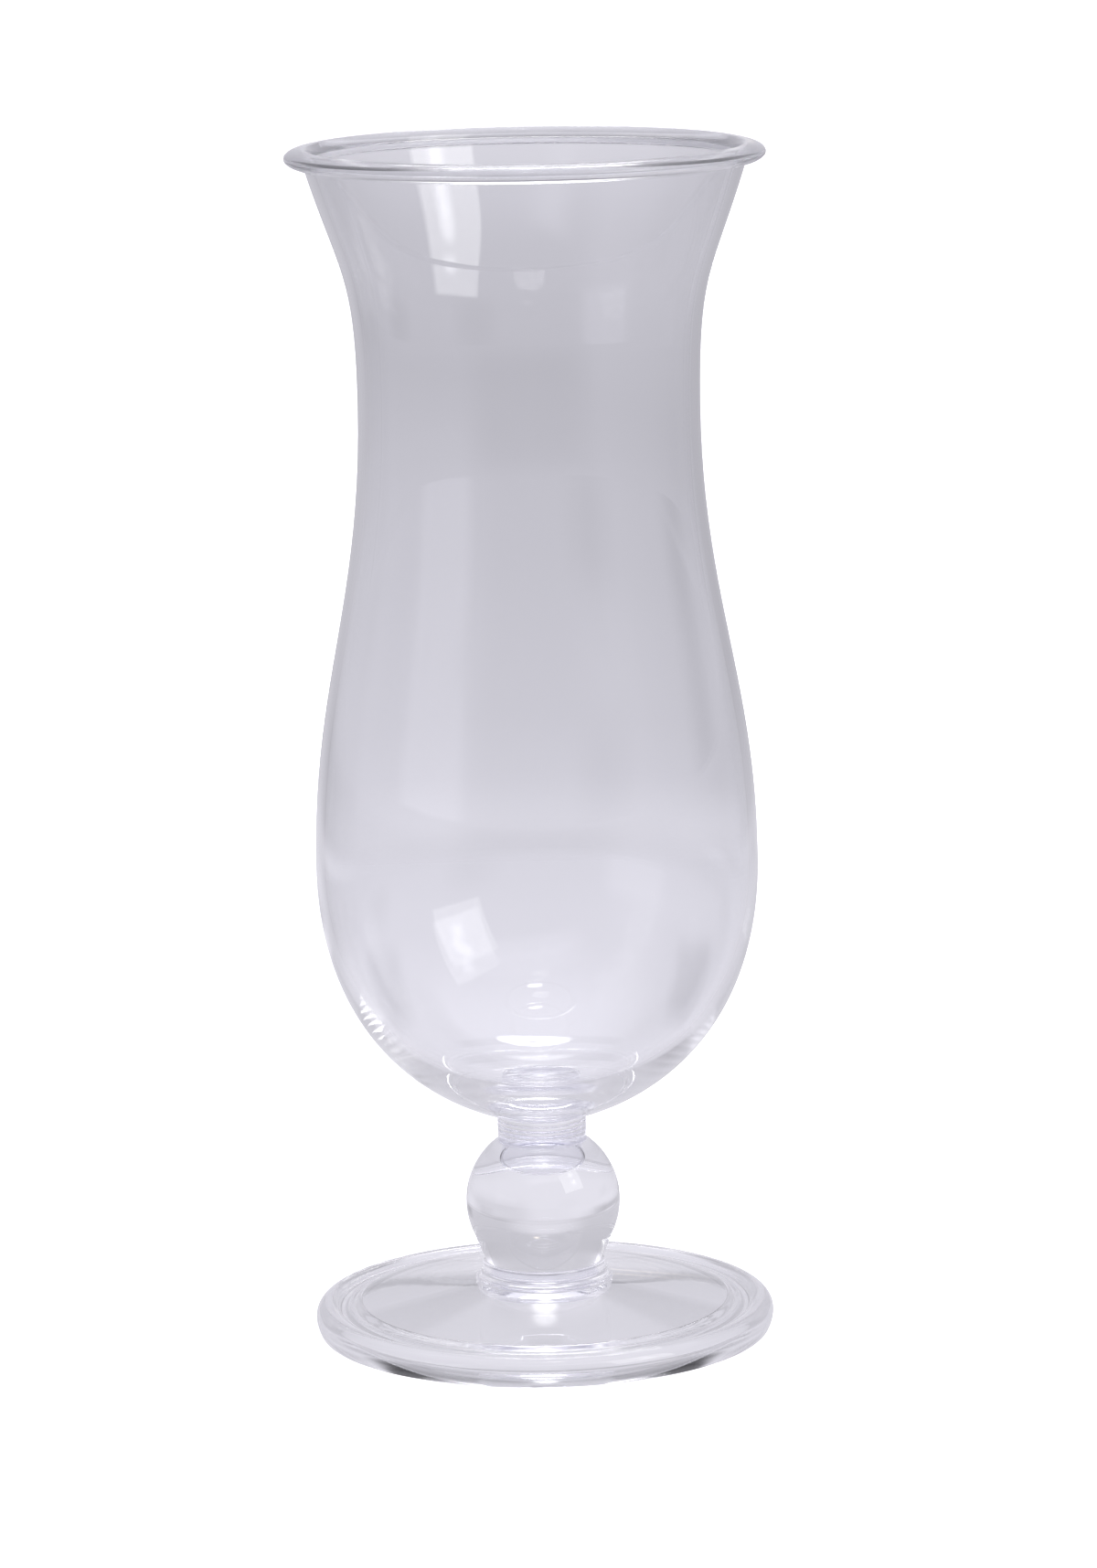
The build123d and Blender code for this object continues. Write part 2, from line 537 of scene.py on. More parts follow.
class Bench:
    """The hand tools that the pieces are shaped with."""

    @staticmethod
    def clear() -> None:
        """Leaves edit mode and deselects everything."""
        if bpy.context.object and bpy.context.object.mode != "OBJECT":
            bpy.ops.object.mode_set(mode="OBJECT")
        bpy.ops.object.select_all(action="DESELECT")

    @staticmethod
    def take(piece: Piece) -> None:
        """Makes one piece the only selected and active one."""
        Bench.clear()
        piece.select_set(True)
        bpy.context.view_layer.objects.active = piece

    @staticmethod
    def pick(piece: Piece, tool: Tool, test: Callable[[Places], np.ndarray]) -> None:
        """Selects points or faces by their place and normal, and enters edit mode.

        Args:
            piece: the piece.
            tool: which elements are picked.
            test: says from the places which elements are picked.
        """
        Bench.take(piece)
        bpy.context.tool_settings.mesh_select_mode = tool.value
        mesh = piece.data
        for group in (mesh.vertices, mesh.edges, mesh.polygons):
            group.foreach_set("select", np.zeros(len(group), dtype=bool))
        group, name = (mesh.polygons, "center") if tool is Tool.FACES else (mesh.vertices, "co")
        group.foreach_set("select", test(Places.of(group, name)))
        bpy.ops.object.mode_set(mode="EDIT")

    @staticmethod
    def turn(name: str, strokes: list[Stroke], columns: int, first_turn: float) -> Piece:
        """Draws a profile as a curve and spins it into a closed round piece.

        Args:
            name: name of the piece.
            strokes: the profile, from one end on the axis to the other.
            columns: steps of the spin.
            first_turn: angle of the first column round the axis, in degrees.

        Returns:
            The piece.
        """
        Bench.clear()
        bpy.ops.curve.primitive_bezier_curve_add(location=ORIGIN)
        piece = bpy.context.object
        piece.name = name
        curve = piece.data
        curve.dimensions = "3D"
        curve.splines.clear()
        for stroke in strokes:
            stroke.draw(curve)
        bpy.ops.object.convert(target="MESH")
        piece = bpy.context.object
        piece.data.name = name
        bpy.ops.object.mode_set(mode="EDIT")
        bpy.ops.mesh.select_all(action="SELECT")
        bpy.ops.mesh.remove_doubles(threshold=MERGE)
        angle = -math.radians(first_turn)
        bpy.ops.transform.rotate(value=angle, orient_axis="Z", center_override=ORIGIN)
        bpy.ops.mesh.spin(steps=columns, angle=2 * math.pi, center=ORIGIN, axis=(0.0, 0.0, 1.0))
        bpy.ops.mesh.select_all(action="SELECT")
        bpy.ops.mesh.remove_doubles(threshold=MERGE)
        bpy.ops.mesh.normals_make_consistent(inside=False)
        bpy.ops.object.mode_set(mode="OBJECT")
        return piece


@dataclass
class Joints:
    """Levels and radii that the mouldings share in their two cemented joints, in millimetres."""

    bond: float = 0.15
    bead_rise: float = 0.35
    collar_height: float = 12.0
    base_radius: float = 10.1723
    lower_tenon_radius: float = 5.7723
    lower_tenon_length: float = 5.0
    knop_top: float = 33.4022
    knop_top_radius: float = 7.94
    neck_radius: float = 7.64
    upper_tenon_radius: float = 5.04
    upper_tenon_length: float = 6.0
    dry_ring: float = 0.2

    @property
    def knop_base(self) -> float:
        """Height of the knop's shoulder."""
        return self.collar_height + self.bond

    @property
    def lower_tenon_end(self) -> float:
        """Height of the lower tenon's end."""
        return self.knop_base - self.lower_tenon_length

    @property
    def lower_socket(self) -> Point:
        """Radius and floor of the foot's socket."""
        return (self.lower_tenon_radius + self.bond, self.lower_tenon_end - self.bond)

    @property
    def neck_end(self) -> float:
        """Height of the neck's shoulder."""
        return self.knop_top + self.bond

    @property
    def upper_tenon_end(self) -> float:
        """Height of the upper tenon's end."""
        return self.neck_end - self.upper_tenon_length

    @property
    def upper_socket(self) -> Point:
        """Radius and floor of the knop's socket."""
        return (self.upper_tenon_radius + self.bond, self.upper_tenon_end - self.bond)

    @property
    def wet_radius(self) -> float:
        """Radius inside which the cement wets the upper tenon's end; a ring outside it stays dry."""
        return self.upper_tenon_radius - self.dry_ring


@dataclass
class Turned:
    """A piece that is spun from a profile, in millimetres, and stands for one node of the frame."""

    name: ClassVar[str]
    node: ClassVar[str]
    slot: ClassVar[str]
    sharp_angle: ClassVar[float] = 32.0
    joints: Joints
    columns: int = 240
    first_turn: float = 0.0

    def profile(self) -> list[Stroke]:
        """The strokes to spin, from one end on the axis to the other."""
        raise NotImplementedError

    def in_joint(self, spots: Places) -> np.ndarray:
        """Which faces lie in a joint."""
        raise NotImplementedError

    def work_over(self, piece: Piece) -> None:
        """Adds what the spin can't make; a plain piece needs nothing."""

    def build(self) -> Piece:
        """Shapes the piece.

        Returns:
            The piece.
        """
        piece = Bench.turn(self.name, self.profile(), self.columns, self.first_turn)
        self.work_over(piece)
        Bench.take(piece)
        bpy.ops.object.shade_smooth_by_angle(angle=math.radians(self.sharp_angle))
        return piece

    def dress(self, piece: Piece, clear: Material, bonded: Material) -> None:
        """Gives the piece its finishes and lets it stand for its node.

        Args:
            piece: the shaped piece.
            clear: finish of the open surface.
            bonded: finish of the faces in a joint.
        """
        piece.data.materials.clear()
        piece.data.materials.append(clear)
        piece.data.materials.append(bonded)
        Bench.pick(piece, Tool.FACES, self.in_joint)
        piece.active_material_index = Skin.BONDED.value
        bpy.ops.object.material_slot_assign()
        bpy.ops.object.mode_set(mode="OBJECT")
        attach(piece, ROOT)
        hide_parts(self.node)
        log.info("%s: %d faces, stands for %s", piece.name, len(piece.data.polygons), self.node)


@dataclass
class Bowl(Turned):
    """Blow-moulded bowl with its rim bead, parting line, thick bottom, neck and tenon.

    A pull is a handle's length as a share of its curve's span, and rows are a curve's edges.
    The parting line stands at the first column.
    """

    name: ClassVar[str] = "glass_bowl"
    node: ClassVar[str] = "bowl"
    slot: ClassVar[str] = "bowl_plastic"
    columns: int = 336
    first_turn: float = -22.0
    top: float = field(default_factory=lambda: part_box("bowl")[1][2] / MM)
    rim_radius: float = 40.75
    bead_width: float = 3.35
    bead_height: float = 3.2
    throat_radius: float = 29.15
    throat_height: float = 162.0022
    belly_radius: float = 38.09
    belly_height: float = 82.7022
    bottom_height: float = 38.1022
    floor_height: float = 42.0022
    wall: float = 1.6
    flare_angle: float = 17.2
    bottom_angle: float = 15.6
    rim_pull: float = 0.478
    throat_upper_pull: float = 0.5635
    throat_lower_pull: float = 0.4258
    belly_upper_pull: float = 0.3989
    belly_lower_pull: float = 0.652
    neck_pull: float = 0.443
    floor_pull: float = 0.55
    flare_rows: int = 18
    waist_rows: int = 22
    inner_bottom_rows: int = 44
    outer_bottom_rows: int = 80
    rim_rows: int = 14
    ledge_width: float = 0.28
    ledge_rise: float = 0.05
    ring_count: int = 4
    ring_pitch: float = 0.8
    ring_rise: float = 0.1
    parting_half_width: float = 0.3
    parting_rise: float = 0.03
    parting_low: float = 130.0
    parting_top_gap: float = 0.4
    cut_half_width: float = 1.6
    cut_low: float = 128.0

    def _flare(self, top: Point, low_radius: float) -> Stroke:
        """Curve from the rim down to the throat.

        Args:
            top: its upper end.
            low_radius: radius of the throat.

        Returns:
            The stroke.
        """
        span = top[1] - self.throat_height
        slope = math.radians(self.flare_angle)
        reach = self.rim_pull * span
        near = (top[0] - reach * math.sin(slope), top[1] - reach * math.cos(slope))
        far = (low_radius, self.throat_height + self.throat_upper_pull * span)
        return Stroke(top, near, far, (low_radius, self.throat_height), self.flare_rows)

    def _waist(self, upper: float, lower: float) -> Stroke:
        """Curve from the throat down to the belly.

        Args:
            upper: radius of the throat.
            lower: radius of the belly.

        Returns:
            The stroke.
        """
        rise = self.throat_height - self.belly_height
        near = (upper, self.throat_height - self.throat_lower_pull * rise)
        far = (lower, self.belly_height + self.belly_upper_pull * rise)
        start, end = (upper, self.throat_height), (lower, self.belly_height)
        return Stroke(start, near, far, end, self.waist_rows)

    def _bottom(self, side: float, end: Point, angle: float, pull: float, rows: int) -> Stroke:
        """Curve from the belly down to the bottom.

        Args:
            side: radius of the belly.
            end: its lower end.
            angle: how steeply it ends, in degrees.
            pull: length of its lower handle.
            rows: how many edges it gets.

        Returns:
            The stroke.
        """
        drop = self.belly_lower_pull * (self.belly_height - end[1])
        reach = pull * (side - end[0])
        slope = math.radians(angle)
        near = (side, self.belly_height - drop)
        far = (end[0] + reach * math.cos(slope), end[1] + reach * math.sin(slope))
        return Stroke((side, self.belly_height), near, far, end, rows)

    def _neck(self) -> list[Stroke]:
        """The neck's side with the fine rings that the mould leaves under the bowl.

        Returns:
            The strokes from the bowl's bottom down to the neck's end.
        """
        neck = self.joints.neck_radius
        spots = [(neck, self.bottom_height)]
        for _ in range(self.ring_count):
            spots.append((neck, spots[-1][1] - self.ring_pitch))
        plain = Stroke.line(spots[-1], (neck, self.joints.neck_end), 4)
        return [*Stroke.rings(spots, self.ring_rise), plain]

    def profile(self) -> list[Stroke]:
        """The turned profile, from the floor up inside, over the rim and down outside.

        Returns:
            The strokes in order.
        """
        joints = self.joints
        neck, neck_end = joints.neck_radius, joints.neck_end
        tenon, tenon_end = joints.upper_tenon_radius, joints.upper_tenon_end
        slope = math.radians(self.flare_angle)
        wall_top = self.top - self.bead_height
        crest = (self.rim_radius - self.bead_width, self.top)
        side = (self.rim_radius, self.top - self.bead_height / 2)
        under = (crest[0], wall_top)
        lip = (crest[0] - self.wall * math.cos(slope), wall_top + self.wall * math.sin(slope))
        ledge = (lip[0] + self.ledge_width, lip[1] + self.ledge_rise)
        throat, belly = self.throat_radius, self.belly_radius
        inner_throat, inner_belly = throat - self.wall, belly - self.wall
        floor, bottom = (0.0, self.floor_height), (neck, self.bottom_height)
        inner = self._bottom(inner_belly, floor, 0.0, self.floor_pull, self.inner_bottom_rows)
        outer_rows = self.outer_bottom_rows
        return [
            inner.reversed(),
            self._waist(inner_throat, inner_belly).reversed(),
            self._flare(lip, inner_throat).reversed(),
            Stroke.line(lip, ledge, 2),
            Stroke.quarter(ledge, (ledge[0], self.top), crest, self.rim_rows),
            Stroke.quarter(crest, (self.rim_radius, self.top), side, self.rim_rows),
            Stroke.quarter(side, (self.rim_radius, wall_top), under, self.rim_rows),
            self._flare(under, throat),
            self._waist(throat, belly),
            self._bottom(belly, bottom, self.bottom_angle, self.neck_pull, outer_rows),
            *self._neck(),
            *Stroke.path((neck, neck_end), (tenon, neck_end), (tenon, tenon_end)),
            *Stroke.path((tenon, tenon_end), (joints.wet_radius, tenon_end), (0.0, tenon_end)),
        ]

    def work_over(self, piece: Piece) -> None:
        """Raises the fine seam that the two halves of the mould leave on the outside.

        Args:
            piece: the turned bowl.
        """
        turn = math.radians(self.first_turn)
        across = np.array((-math.sin(turn), math.cos(turn), 0.0))

        def beside(spots: Places) -> np.ndarray:
            """Which faces are cut along the seam's two edges."""
            near = abs(spots.place @ across) < self.cut_half_width
            return near & (spots.height > self.cut_low)

        def on_seam(spots: Places) -> np.ndarray:
            """Which outer points lie on the seam's middle line."""
            middle = (abs(spots.place @ across) < 2 * NEAR) & (spots.outward > 0.5)
            below_top = spots.height < self.top - self.parting_top_gap
            return middle & (spots.height > self.parting_low) & below_top

        for side in (-1.0, 1.0):
            Bench.pick(piece, Tool.FACES, beside)
            shift = across * (side * self.parting_half_width * MM)
            bpy.ops.mesh.bisect(plane_co=tuple(shift), plane_no=tuple(across))
            bpy.ops.object.mode_set(mode="OBJECT")
        Bench.pick(piece, Tool.POINTS, on_seam)
        bpy.ops.transform.shrink_fatten(value=self.parting_rise * MM)
        bpy.ops.object.mode_set(mode="OBJECT")

    def in_joint(self, spots: Places) -> np.ndarray:
        """Which faces the cement wets: all below the neck but a ring at the tenon's end.

        Args:
            spots: the faces.

        Returns:
            One yes or no for each.
        """
        joints = self.joints
        dry = (spots.height < joints.upper_tenon_end + NEAR) & (spots.radius > joints.wet_radius)
        return (spots.height < joints.neck_end + NEAR) & ~dry


@dataclass
class Knop(Turned):
    """Solid ball with a tapered base, a socket above and a tenon below."""

    name: ClassVar[str] = "glass_knop"
    node: ClassVar[str] = "knop"
    slot: ClassVar[str] = "stem_plastic"
    columns: int = 360
    radius: float = 13.4
    centre_height: float = 22.608
    crease_angle: float = 20.5
    crease_arc: float = 0.5
    crease_width: float = 0.1
    ball_rows: int = 46
    taper_rows: int = 12

    def profile(self) -> list[Stroke]:
        """The turned profile, from the socket's floor out, down and in to the tenon's end.

        Returns:
            The strokes in order.
        """
        joints = self.joints
        socket, floor = joints.upper_socket
        tenon, tenon_end = joints.lower_tenon_radius, joints.lower_tenon_end
        middle = (0.0, self.centre_height)
        top = math.degrees(math.asin((joints.knop_top - self.centre_height) / self.radius))
        ball_end = self.crease_arc - self.crease_angle
        ball = Stroke.arc(middle, self.radius, top, ball_end, self.ball_rows)
        turn = Stroke.arc(middle, self.radius, ball_end, -self.crease_angle, 1)
        base = (joints.base_radius, joints.knop_base)
        taper = Stroke.between(turn.end, base, self.crease_width / math.dist(turn.end, base))
        return [
            *Stroke.path((0.0, floor), (joints.wet_radius, floor), (socket, floor)),
            *Stroke.path((socket, floor), (socket, joints.knop_top), ball.start),
            ball,
            turn,
            Stroke.line(turn.end, taper),
            Stroke.line(taper, base, self.taper_rows),
            *Stroke.path(base, (tenon, joints.knop_base), (tenon, tenon_end), (0.0, tenon_end)),
        ]

    def in_joint(self, spots: Places) -> np.ndarray:
        """Which faces lie in one of the two joints.

        Args:
            spots: the faces.

        Returns:
            One yes or no for each.
        """
        joints = self.joints
        socket, floor = joints.upper_socket
        dry = (spots.height < floor + NEAR) & (spots.radius > joints.wet_radius)
        shoulder = spots.height > joints.knop_top - NEAR
        lower = spots.height < joints.knop_base + NEAR
        return ((spots.radius < socket + NEAR) & ~dry) | shoulder | lower


@dataclass
class Foot(Turned):
    """Moulded foot with a rounded edge, groove, shallow dome, flared collar and hollow underside."""

    name: ClassVar[str] = "glass_foot"
    node: ClassVar[str] = "foot"
    slot: ClassVar[str] = "stem_plastic"
    columns: int = 420
    radius: float = field(default_factory=lambda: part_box("foot")[1][0] / MM)
    edge_height: float = 2.57
    base_radius: float = 39.2
    base_lean: float = 0.3
    bead: Point = (37.9, 5.0)
    step_foot: Point = (33.0, 4.55)
    step_edge: Point = (34.0, 4.42)
    groove: Point = (34.4, 4.16)
    dome_edge: Point = (32.3, 5.22)
    dome_top: Point = (11.9723, 8.8)
    collar_radius: float = 10.4723
    ring_edge: Point = (35.75, 4.14)
    ring_handle: Point = (0.35, 0.42)
    crease: float = 0.45
    collar_rings: int = 3
    collar_ring_rise: float = 0.22
    dome_rings: int = 7
    dome_ring_rise: float = 0.002
    recess_height: float = 5.0
    recess_edge: Point = (33.4, 2.0)
    hub_radius: float = 11.4723
    standing_inner: float = 34.8

    def _terraces(self) -> list[Point]:
        """Corners of the two low steps between the dome and the rounded edge."""
        return [self.dome_edge, self.step_foot, self.step_edge, self.groove, self.ring_edge]

    def _top(self) -> list[Stroke]:
        """The flared collar of small rounded steps, and the dome with its low rings.

        Returns:
            The strokes from the collar's top out to the dome's edge.
        """
        start, high = self.dome_top, self.joints.collar_height
        wide, tall = start[0] - self.collar_radius, high - start[1]
        collar = []
        for step in range(self.collar_rings + 1):
            angle = math.pi / 2 * step / self.collar_rings
            collar.append((start[0] - wide * math.cos(angle), high - tall * math.sin(angle)))
        shares = [ring / self.dome_rings for ring in range(1, self.dome_rings + 1)]
        dome = [start, *(Stroke.between(start, self.dome_edge, share) for share in shares)]
        steps = Stroke.rings(collar, self.collar_ring_rise)
        return steps + Stroke.rings(dome, self.dome_ring_rise, 8)

    def profile(self) -> list[Stroke]:
        """The turned profile, from the socket's floor out over the top and in under the foot.

        Returns:
            The strokes in order.
        """
        socket, floor = self.joints.lower_socket
        high, tall = self.joints.collar_height, self.edge_height
        seat = (self.joints.base_radius, high)
        ring, bead, side = self.ring_edge, self.bead, (self.radius, tall)
        rise = (ring[0] + self.ring_handle[0], ring[1] + self.ring_handle[1])
        ease = (bead[0] - ring[0]) / 2
        lean = (self.base_radius + self.base_lean, tall * 0.2)
        base, inner = (self.base_radius, 0.0), (self.standing_inner, 0.0)
        recess, hub = self.recess_edge, (self.hub_radius, self.recess_height)
        slope = (self.dome_top[1] - self.dome_edge[1]) / (self.dome_edge[0] - self.dome_top[0])
        hub_edge = (hub[0], recess[1] + (recess[0] - hub[0]) * slope)
        return [
            *Stroke.path((0.0, floor), (socket, floor), (socket, high), seat),
            Stroke.line(seat, (self.collar_radius, high), 2),
            *self._top(),
            *Stroke.path(*self._terraces()),
            Stroke(ring, rise, (bead[0] - ease, bead[1]), bead, 12),
            Stroke.quarter(bead, (self.radius, bead[1]), side, 12),
            Stroke(side, (self.radius, tall * 0.6), lean, base, 8),
            Stroke.line(base, inner, 4),
            Stroke.line(inner, recess, 4),
            Stroke.line(recess, hub_edge, 16),
            Stroke.line(hub_edge, hub, 2),
            Stroke.line(hub, (0.0, self.recess_height), 6),
        ]

    def work_over(self, piece: Piece) -> None:
        """Rounds the creases of the terraces.

        Args:
            piece: the turned foot.
        """
        for ring in self._terraces():

            def on_ring(spots: Places) -> np.ndarray:
                """Which points lie on the crease."""
                level = abs(spots.height - ring[1]) < NEAR
                return level & (abs(spots.radius - ring[0]) < NEAR)

            Bench.pick(piece, Tool.POINTS, on_ring)
            bpy.ops.mesh.bevel(offset=self.crease * MM, segments=3, affect="EDGES")
            bpy.ops.object.mode_set(mode="OBJECT")

    def in_joint(self, spots: Places) -> np.ndarray:
        """Which faces lie in the joint.

        Args:
            spots: the faces.

        Returns:
            One yes or no for each.
        """
        joints = self.joints
        socket, floor = joints.lower_socket
        inside = (spots.radius < socket + NEAR) & (spots.height > floor - NEAR)
        level = spots.height > joints.collar_height - NEAR
        return inside | (level & (spots.radius < joints.base_radius))


@dataclass
class UpperBond(Turned):
    """The cement film between neck and knop, with its squeezed-out bead."""

    name: ClassVar[str] = "upper_bond_line"
    node: ClassVar[str] = "upper_bond"
    slot: ClassVar[str] = "cement"
    sharp_angle: ClassVar[float] = 40.0
    upper_handle: Point = (0.04, 0.18)
    lower_handle: Point = (0.15, 0.06)
    skin_gap: float = 0.002

    def profile(self) -> list[Stroke]:
        """The turned profile, from the tenon's end out to the bead and back along the socket.

        Returns:
            The strokes in order.
        """
        joints = self.joints
        tenon, end = joints.upper_tenon_radius, joints.upper_tenon_end
        socket, floor = joints.upper_socket
        neck, neck_end, top = joints.neck_radius, joints.neck_end, joints.knop_top
        bead = (neck, neck_end + joints.bead_rise)
        edge = (joints.knop_top_radius, top)
        upper = (neck + self.upper_handle[0], neck_end + self.upper_handle[1])
        lower = (neck + self.lower_handle[0], top + self.lower_handle[1])
        return [
            *Stroke.path((0.0, end), (tenon, end), (tenon, neck_end), (neck, neck_end), bead),
            Stroke(bead, upper, lower, edge, 6),
            *Stroke.path(edge, (socket, top), (socket, floor), (0.0, floor)),
        ]

    def in_joint(self, spots: Places) -> np.ndarray:
        """Which faces touch one of the mouldings."""
        inside = spots.radius < self.joints.neck_radius + self.skin_gap
        return inside | (spots.height < self.joints.knop_top + self.skin_gap)


@dataclass
class LowerBond(Turned):
    """The cement film between knop and foot, with a slightly hollow edge."""

    name: ClassVar[str] = "lower_bond_line"
    node: ClassVar[str] = "lower_bond"
    slot: ClassVar[str] = "cement"
    sharp_angle: ClassVar[float] = 40.0
    hollow: float = 0.05
    edge_depth: float = 0.08

    def profile(self) -> list[Stroke]:
        """The turned profile, from the tenon's end out to the edge and back along the socket.

        Returns:
            The strokes in order.
        """
        joints = self.joints
        tenon, end = joints.lower_tenon_radius, joints.lower_tenon_end
        socket, floor = joints.lower_socket
        base, high, low = joints.base_radius, joints.knop_base, joints.collar_height
        inner = base - self.hollow
        near, far = (inner, high - self.hollow), (inner, low + self.hollow)
        return [
            *Stroke.path((0.0, end), (tenon, end), (tenon, high), (base, high)),
            Stroke((base, high), near, far, (base, low), 4),
            *Stroke.path((base, low), (socket, low), (socket, floor), (0.0, floor)),
        ]

    def in_joint(self, spots: Places) -> np.ndarray:
        """Which faces touch one of the mouldings."""
        return spots.radius < self.joints.base_radius - self.edge_depth


@dataclass(frozen=True)
class Card:
    """A bright or dark studio card that faces the glass, fades at its edges and hides from the camera.

    Its place is given in degrees as seen from the glass: its turn from the camera towards the
    camera's right, its rise over the floor, and how wide and tall it looks. Its distance and
    the height that it faces are in metres, its soft edges and its hole are shares of its size.
    """

    name: str
    turn: float
    rise: float
    wide: float
    tall: float
    strength: float
    soft: Point = (0.4, 0.4)
    distance: float = 3.0
    lean: float = 0.0
    colour: Colour = (1.0, 0.985, 1.07)
    rounded: bool = False
    hole: float = 0.0
    hole_fade: float = 0.02
    hot_spots: tuple[Triple, ...] = ()
    hot_gain: float = 1.0
    aim_height: float = 0.06

    def make(self) -> Piece:
        """Sets the card up.

        Returns:
            The card.
        """
        Bench.clear()
        bpy.ops.mesh.primitive_plane_add(size=1.0, location=ORIGIN)
        card = bpy.context.object
        card.name = self.name
        turn, rise = math.radians(self.turn), math.radians(self.rise)
        level, up = self.distance * math.cos(rise), self.distance * math.sin(rise)
        way = Vector((level * math.sin(turn), -level * math.cos(turn), up))
        facing = (-way).to_track_quat("Z", "Y").to_matrix().to_4x4()
        lean = Matrix.Rotation(math.radians(self.lean), 4, "Z")
        spans = [math.tan(math.radians(angle) / 2) for angle in (self.wide, self.tall)]
        place = way + Vector((0.0, 0.0, self.aim_height))
        card.matrix_world = Matrix.Translation(place) @ facing @ lean
        card.scale = (2 * self.distance * spans[0], 2 * self.distance * spans[1], 1.0)
        card.data.materials.append(self._glow())
        card.visible_camera = False
        card.visible_shadow = False
        return card

    def _glow(self) -> Material:
        """The card's light, brighter at its hot spots and fading out towards its edges.

        Returns:
            The material.
        """
        material, sheet = NodeSheet.for_material(self.name)
        place = sheet.node("ShaderNodeTexCoord", output="Object")
        if self.rounded:
            reach = sheet.length(place)
            hole = reach.ease(self.hole - self.hole_fade, self.hole + self.hole_fade)
            cover = (0.5 - reach).ease(0.0, self.soft[0] / 2) * hole
        else:
            across = sheet.node("ShaderNodeSeparateXYZ", {}, {0: place}, "X")
            sides = (0.5 - across.size()).ease(0.0, self.soft[0] / 2)
            cover = sides * (0.5 - across.other("Y").size()).ease(0.0, self.soft[1] / 2)
        hot = tuple(self.hot_gain * part for part in self.colour)
        colour = sheet.mix(0.0, self.colour, hot)
        for x, y, reach in self.hot_spots:
            sockets = {0: place, 1: (x, y, 0.0)}
            gap = sheet.node("ShaderNodeVectorMath", {"operation": "DISTANCE"}, sockets, "Value")
            colour = sheet.mix(gap.ease(reach, 0.0), colour, hot)
        glow = sheet.node("ShaderNodeEmission", {}, {"Color": colour, "Strength": self.strength})
        sheet.finish(sheet.blend(cover, sheet.node("ShaderNodeBsdfTransparent"), glow))
        return material


